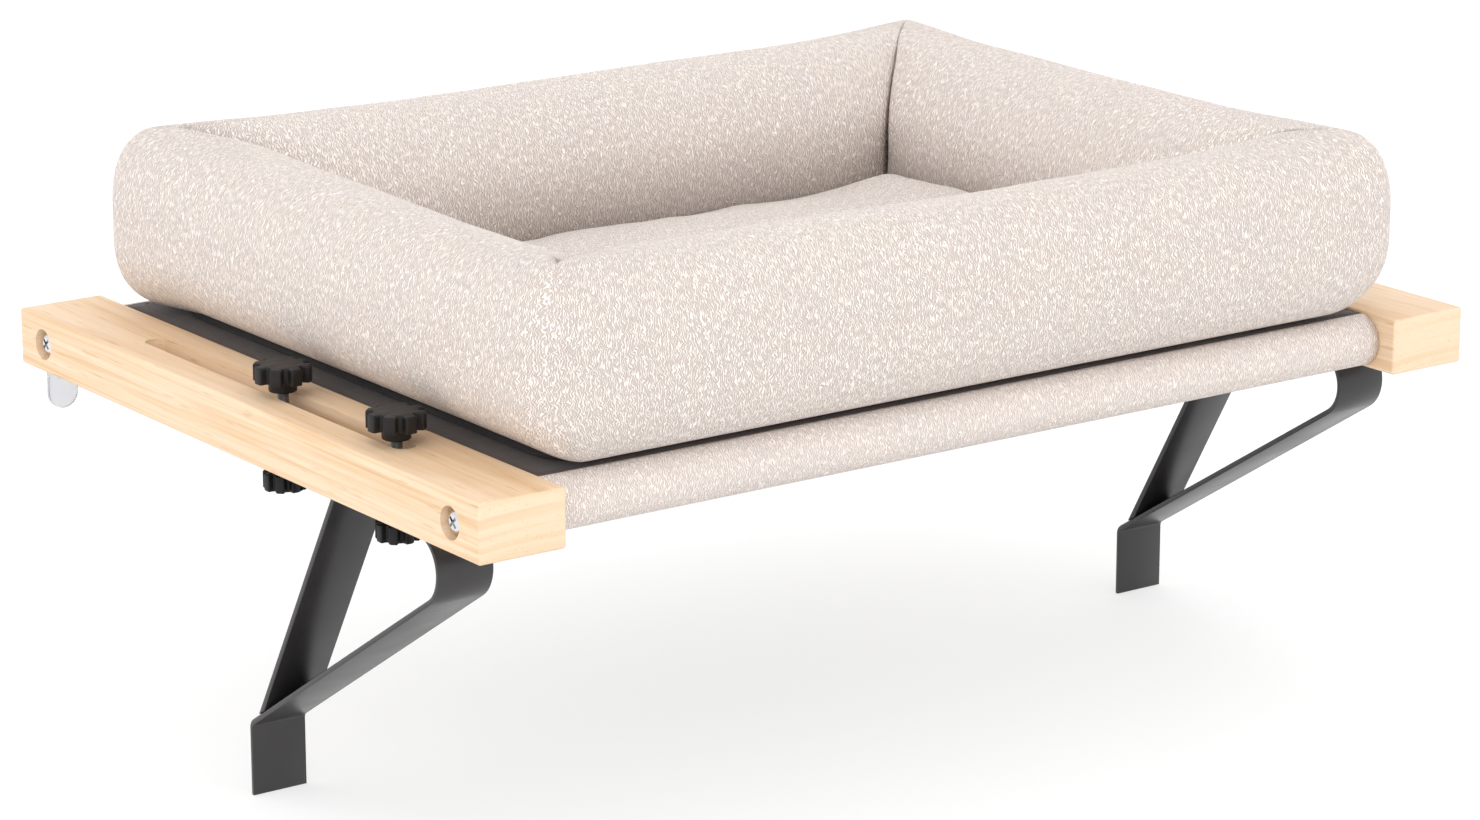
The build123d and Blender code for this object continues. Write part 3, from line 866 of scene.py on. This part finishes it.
def make_strip(name, path, low_x, high_x, step=cloth_step):
    """Cloth laid along a path of (y, z) points, from low_x to high_x, as a single layer with its own UVs."""
    columns = max(round((high_x - low_x) / step), 1)
    run = [0.0]
    for a, b in zip(path, path[1:]):
        run.append(run[-1] + hypot(b[0] - a[0], b[1] - a[1]))
    points, flat = [], []
    for i in range(columns + 1):
        x = low_x + (high_x - low_x) * i / columns
        points += [(x, y, z) for y, z in path]
        flat += [(x, way) for way in run]
    rows = len(path)
    faces = [(i * rows + k, (i + 1) * rows + k, (i + 1) * rows + k + 1, i * rows + k + 1)
             for i in range(columns) for k in range(rows - 1)]
    mesh = mesh_from(name, points, faces)
    set_uvs(mesh, [flat[loop.vertex_index] for loop in mesh.loops])
    return mesh, run[-1]


def thicken(piece, gauge):
    modifier = piece.modifiers.new("cloth thickness", "SOLIDIFY")
    modifier.thickness = gauge
    modifier.offset = 0.0


rod_places = {}
for place in ("front", "rear"):
    low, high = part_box(f"{place}_rod")
    rod_places[place] = ((low[1] + high[1]) / 2, (low[2] + high[2]) / 2)
panel_low, panel_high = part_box("sling_panel")
panel_mid_z = (panel_low[2] + panel_high[2]) / 2
tail_mid_z = panel_low[2] - 0.5 * (panel_high[2] - panel_low[2])

for place, inward in (("front", 1), ("rear", -1)):
    rod_y, rod_z = rod_places[place]
    leave = atan2(tail_mid_z - rod_z, sqrt(sleeve_radius ** 2 - (tail_mid_z - rod_z) ** 2))
    path = []
    for step in range(sleeve_steps + 1):
        angle = pi / 2 + (3 * pi / 2 + leave) * step / sleeve_steps
        path.append((rod_y + inward * sleeve_radius * cos(angle), rod_z + sleeve_radius * sin(angle)))
    tail_start, tail_end = path[-1][0], rod_y + inward * sleeve_tail
    path += [(tail_start + (tail_end - tail_start) * step / tail_steps, tail_mid_z)
             for step in range(1, tail_steps + 1)]
    mesh, cut_length = make_strip(f"{place} sleeve", path, panel_low[0], panel_high[0])
    sleeve = add_piece(f"{place}_rod_sleeve", mesh, sleeve_knit, "frame", "sleeve_fabric", f"{place}_sleeve")
    thicken(sleeve, cloth_gauge)

panel_front = rod_places["front"][0] + panel_lap
panel_rear = rod_places["rear"][0] - panel_lap
panel_path = [(panel_front + (panel_rear - panel_front) * k / panel_rows, panel_mid_z)
              for k in range(panel_rows + 1)]
panel_mesh, panel_length = make_strip("sling cloth", panel_path, panel_low[0], panel_high[0])
sling = add_piece("sling_cloth", panel_mesh, sling_cloth, "frame", "sling_fabric", "sling_panel")
thicken(sling, cloth_gauge)


def make_stitch_tree():
    """Geometry Nodes: a row of stitches laid end to end along each curve."""
    inputs = {"Geometry": "Geometry", "Pitch": "Float", "Length": "Float", "Gauge": "Float",
              "Thread": "Material"}
    tree, given, result = node_group("stitch row", inputs, {"Geometry": "Geometry"}, "GeometryNodeTree")
    spots = node(tree, "GeometryNodeCurveToPoints", {"Curve": given["Geometry"], "Length": given["Pitch"]},
                 mode="LENGTH")
    stitch = node(tree, "GeometryNodeMeshUVSphere", {"Segments": 8, "Rings": 6, "Radius": 0.5})
    size = merged(tree, given["Gauge"], given["Gauge"], given["Length"])
    shaped = node(tree, "GeometryNodeTransform", {"Geometry": stitch.outputs["Mesh"], "Scale": size})
    placed = node(tree, "GeometryNodeInstanceOnPoints",
                  {"Points": spots.outputs["Points"], "Instance": shaped.outputs["Geometry"],
                   "Rotation": spots.outputs["Rotation"]})
    real = node(tree, "GeometryNodeRealizeInstances", {"Geometry": placed.outputs["Instances"]})
    smooth = node(tree, "GeometryNodeSetShadeSmooth", {"Geometry": real.outputs["Geometry"]})
    dressed = node(tree, "GeometryNodeSetMaterial", {"Geometry": smooth.outputs["Geometry"],
                                                     "Material": given["Thread"]})
    fill(result, {"Geometry": dressed.outputs["Geometry"]})
    return tree


stitch_tree = make_stitch_tree()


def sew(name, lines, thread, body, slot):
    """Stitches along straight lines, made a plain mesh."""
    curve = bpy.data.curves.new(name, "CURVE")
    curve.dimensions = "3D"
    for start, end in lines:
        spline = curve.splines.new("POLY")
        spline.points.add(1)
        spline.points[0].co = (*start, 1)
        spline.points[1].co = (*end, 1)
    rows = add_object(name, curve)
    modifier = rows.modifiers.new("stitches", "NODES")
    modifier.node_group = stitch_tree
    values = {"Pitch": stitch_pitch, "Length": stitch_length, "Gauge": stitch_gauge, "Thread": thread}
    for item in stitch_tree.interface.items_tree:
        if item.in_out == "INPUT" and item.name in values:
            modifier[item.identifier] = values[item.name]
    evaluated = rows.evaluated_get(bpy.context.evaluated_depsgraph_get())
    mesh = bpy.data.meshes.new_from_object(evaluated)
    mesh.name = name
    bpy.data.objects.remove(rows)
    bpy.data.curves.remove(curve)
    return add_piece(name, mesh, thread, body, slot)


hem_pieces, stitch_lines = [], []
hem_mid_z = panel_mid_z - (cloth_gauge + hem_gauge) / 2
stitch_z = panel_mid_z + cloth_gauge / 2
for side, edge, sign in (("left", panel_low[0], 1), ("right", panel_high[0], -1)):
    xs = sorted((edge, edge + sign * hem_width))
    hem_path = [(y, hem_mid_z) for y, _ in panel_path if abs(y - bed_middle.y) < hem_half_length]
    hem_mesh, _ = make_strip(f"{side} hem", hem_path, xs[0], xs[1], step=hem_step)
    hem = add_piece(f"{side}_sling_hem", hem_mesh, sling_cloth, "frame", "sling_fabric")
    thicken(hem, hem_gauge)
    hem_pieces.append(hem)
    x = edge + sign * (hem_width - hem_stitch_inset)
    stitch_lines.append(((x, panel_path[2][0], stitch_z), (x, panel_path[-3][0], stitch_z)))
row_start = panel_low[0] + hem_width + seam_stitch_gap
row_end = panel_high[0] - hem_width - seam_stitch_gap
for y in (panel_front + seam_stitch_inset, panel_rear - seam_stitch_inset):
    stitch_lines.append(((row_start, y, stitch_z), (row_end, y, stitch_z)))
sling_stitches = sew("sling_stitches", stitch_lines, sewing_thread, "frame", "sling_fabric")


def make_base_sheet():
    """The bed's flat underside with rounded corners, its flat size and its area."""
    low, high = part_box("bed_base_cloth")
    radius = bed_corner_radius
    mid_z = (low[2] + high[2]) / 2
    centres = ((high[0] - radius, high[1] - radius, 0), (low[0] + radius, high[1] - radius, 1),
               (low[0] + radius, low[1] + radius, 2), (high[0] - radius, low[1] + radius, 3))
    rim = []
    for x, y, quarter in centres:
        for step in range(sheet_corner_steps + 1):
            angle = pi / 2 * (quarter + step / sheet_corner_steps)
            rim.append((x + radius * cos(angle), y + radius * sin(angle), mid_z))
    mesh = mesh_from("base sheet", rim, [tuple(range(len(rim)))], smooth=False)
    set_uvs(mesh, [rim[loop.vertex_index][:2] for loop in mesh.loops])
    area = (high[0] - low[0]) * (high[1] - low[1]) - (4 - pi) * radius ** 2
    return mesh, (high[0] - low[0], high[1] - low[1]), area


base_mesh, base_flat, base_area = make_base_sheet()
base_sheet = add_piece("bed_base_sheet", base_mesh, base_cloth, "bed", "base_fabric", "bed_base_cloth")
thicken(base_sheet, cloth_gauge)


def refined_copy(name, sharp_degrees, bevel):
    """The CAD node's mesh, joined up, with soft shading and small bevels on its sharp edges."""
    mesh = frame["nodes"][name].data.copy()
    mesh.name = name.replace("_", " ")
    work = bmesh.new()
    work.from_mesh(mesh)
    bmesh.ops.remove_doubles(work, verts=work.verts, dist=weld_distance)
    bmesh.ops.dissolve_limit(work, angle_limit=radians(flat_degrees), verts=work.verts, edges=work.edges)
    if bevel:
        edges = [e for e in work.edges if len(e.link_faces) == 2
                 and e.calc_face_angle(0.0) > radians(sharp_degrees)]
        bmesh.ops.bevel(work, geom=edges, offset=bevel, segments=bevel_segments, profile=0.5,
                        affect="EDGES", clamp_overlap=True)
    for face in work.faces:
        face.smooth = True
    for edge in work.edges:
        edge.smooth = len(edge.link_faces) != 2 or edge.calc_face_angle(0.0) < radians(sharp_degrees)
    work.to_mesh(mesh)
    work.free()
    return mesh


def body_of_node(name):
    for body, names in frame["record"]["behaviour"]["bodies"].items():
        if name in names:
            return body
    return "frame"


def slot_of_node(name):
    return next(row["material_slot"] for row in frame["record"]["subparts"] if row["node"] == name)


def refine(name, material, sharp_degrees, bevel=0.0):
    mesh = refined_copy(name, sharp_degrees, bevel)
    return add_piece(f"{name}_finished", mesh, material, body_of_node(name), slot_of_node(name), name)


for side in ("left", "right"):
    refine(f"{side}_rail", rail_wood[side], sharp_degrees=40)
    refine(f"{side}_bracket_strip", bracket_paint, sharp_degrees=40, bevel=0.00035)
    refine(f"{side}_bracket_strut", bracket_paint, sharp_degrees=30, bevel=0.00030)
    refine(f"{side}_stop_plate", clear_plastic, sharp_degrees=40, bevel=0.00045)
for place in ("front", "rear"):
    refine(f"{place}_rod", rod_wood, sharp_degrees=40)
for name, material in (("rod_inserts", stud_zinc), ("rod_washers", screw_plate), ("rod_screws", screw_plate),
                       ("stop_plate_screws", screw_plate)):
    refine(name, material, sharp_degrees=38)
for clamp in clamps:
    for level in ("upper", "lower"):
        refine(f"{clamp}_{level}_knob", knob_plastic, sharp_degrees=34, bevel=0.00040)
    refine(f"{clamp}_lower_nut", stud_zinc, sharp_degrees=40)


def make_threaded_stud(name):
    """A stud with a right-hand thread cut round it, from its lower tip to the knob."""
    low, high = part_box(name)
    x, y = (low[0] + high[0]) / 2, (low[1] + high[1]) / 2
    radius = (high[0] - low[0]) / 2
    rings = round((high[2] - low[2]) / thread_pitch * thread_rings_per_turn)
    points = [(x, y, low[2])]
    for ring in range(rings + 1):
        z = low[2] + (high[2] - low[2]) * ring / rings
        tip = min((z - low[2]) / stud_tip_length, 1.0)
        tapered = stud_tip_share + (1 - stud_tip_share) * tip
        for step in range(thread_segments):
            turn = step / thread_segments
            phase = ((z - low[2]) / thread_pitch - turn) % 1.0
            cut = thread_depth * abs(2 * phase - 1)
            reach = (radius - cut) * tapered
            points.append((x + reach * cos(tau * turn), y + reach * sin(tau * turn), z))
    points.append((x, y, high[2]))
    last = len(points) - 1
    faces = []
    for step in range(thread_segments):
        after = (step + 1) % thread_segments
        faces.append((0, 1 + after, 1 + step))
        for ring in range(rings):
            base = 1 + ring * thread_segments
            above = base + thread_segments
            faces.append((base + step, base + after, above + after, above + step))
        top = 1 + rings * thread_segments
        faces.append((last, top + step, top + after))
    mesh = mesh_from(name, points, faces)
    return add_piece(f"{name}_threaded", mesh, stud_zinc, name, "stud_steel", name)


for clamp in clamps:
    make_threaded_stud(f"{clamp}_stud")


def make_camera():
    camera = add_object("camera", bpy.data.cameras.new("camera"))
    camera.data.lens = camera_lens
    camera.data.sensor_width = camera_sensor
    camera.data.clip_end = camera_reach
    camera.location = camera_target + camera_back * camera_distance
    camera.rotation_euler = camera_back.to_track_quat("Z", "Y").to_euler()
    scene.camera = camera


def seen_directly(tree):
    """One for rays from the camera, a mirror or glass, and zero for rays that carry light."""
    rays = node(tree, "ShaderNodeLightPath").outputs
    direct = math(tree, "MAXIMUM", rays["Is Camera Ray"], rays["Is Glossy Ray"])
    return math(tree, "MAXIMUM", direct, rays["Is Transmission Ray"])


def make_world():
    world = bpy.data.worlds.new("studio")
    world.use_nodes = True
    tree = world.node_tree
    direction = node(tree, "ShaderNodeTexCoord").outputs["Generated"]
    from_sides = spread(tree, split(tree, direction)["Z"], 0.0, 1.0, sky_low, sky_high)
    strength = spread(tree, seen_directly(tree), 0.0, 1.0, from_sides, 1.0)
    set_named(tree.nodes["Background"], Color=white, Strength=strength)
    scene.world = world


def make_key_lamp():
    lamp = bpy.data.lights.new("key", "AREA")
    lamp.shape = "DISK"
    lamp.size = key_size
    lamp.energy = key_power
    lamp.color = key_tint
    holder = add_object("key", lamp)
    holder.location = key_place
    holder.rotation_euler = Vector(key_place).to_track_quat("Z", "Y").to_euler()


def make_floor():
    """A white floor just under the brackets' feet, which seems as bright as the background."""
    size, z = floor_half_size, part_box("left_bracket_strip")[0][2] - floor_gap
    mesh = mesh_from("floor", [(-size, -size, z), (size, -size, z), (size, size, z), (-size, size, z)],
                     [(0, 1, 2, 3)], smooth=False)
    material, tree, shader = plain_material("pale floor")
    direct = seen_directly(tree)
    tone = spread(tree, direct, 0.0, 1.0, floor_reflectance, floor_seen_reflectance)
    glow = spread(tree, direct, 0.0, 1.0, 0.0, floor_seen_glow)
    set_named(shader, Base_Color=tone, Roughness=0.9, Specular_IOR_Level=0.0, Emission_Color=white,
              Emission_Strength=glow)
    mesh.materials.append(material)
    add_object("floor", mesh)


make_camera()
make_world()
make_key_lamp()
make_floor()
scene.view_settings.view_transform = "Standard"
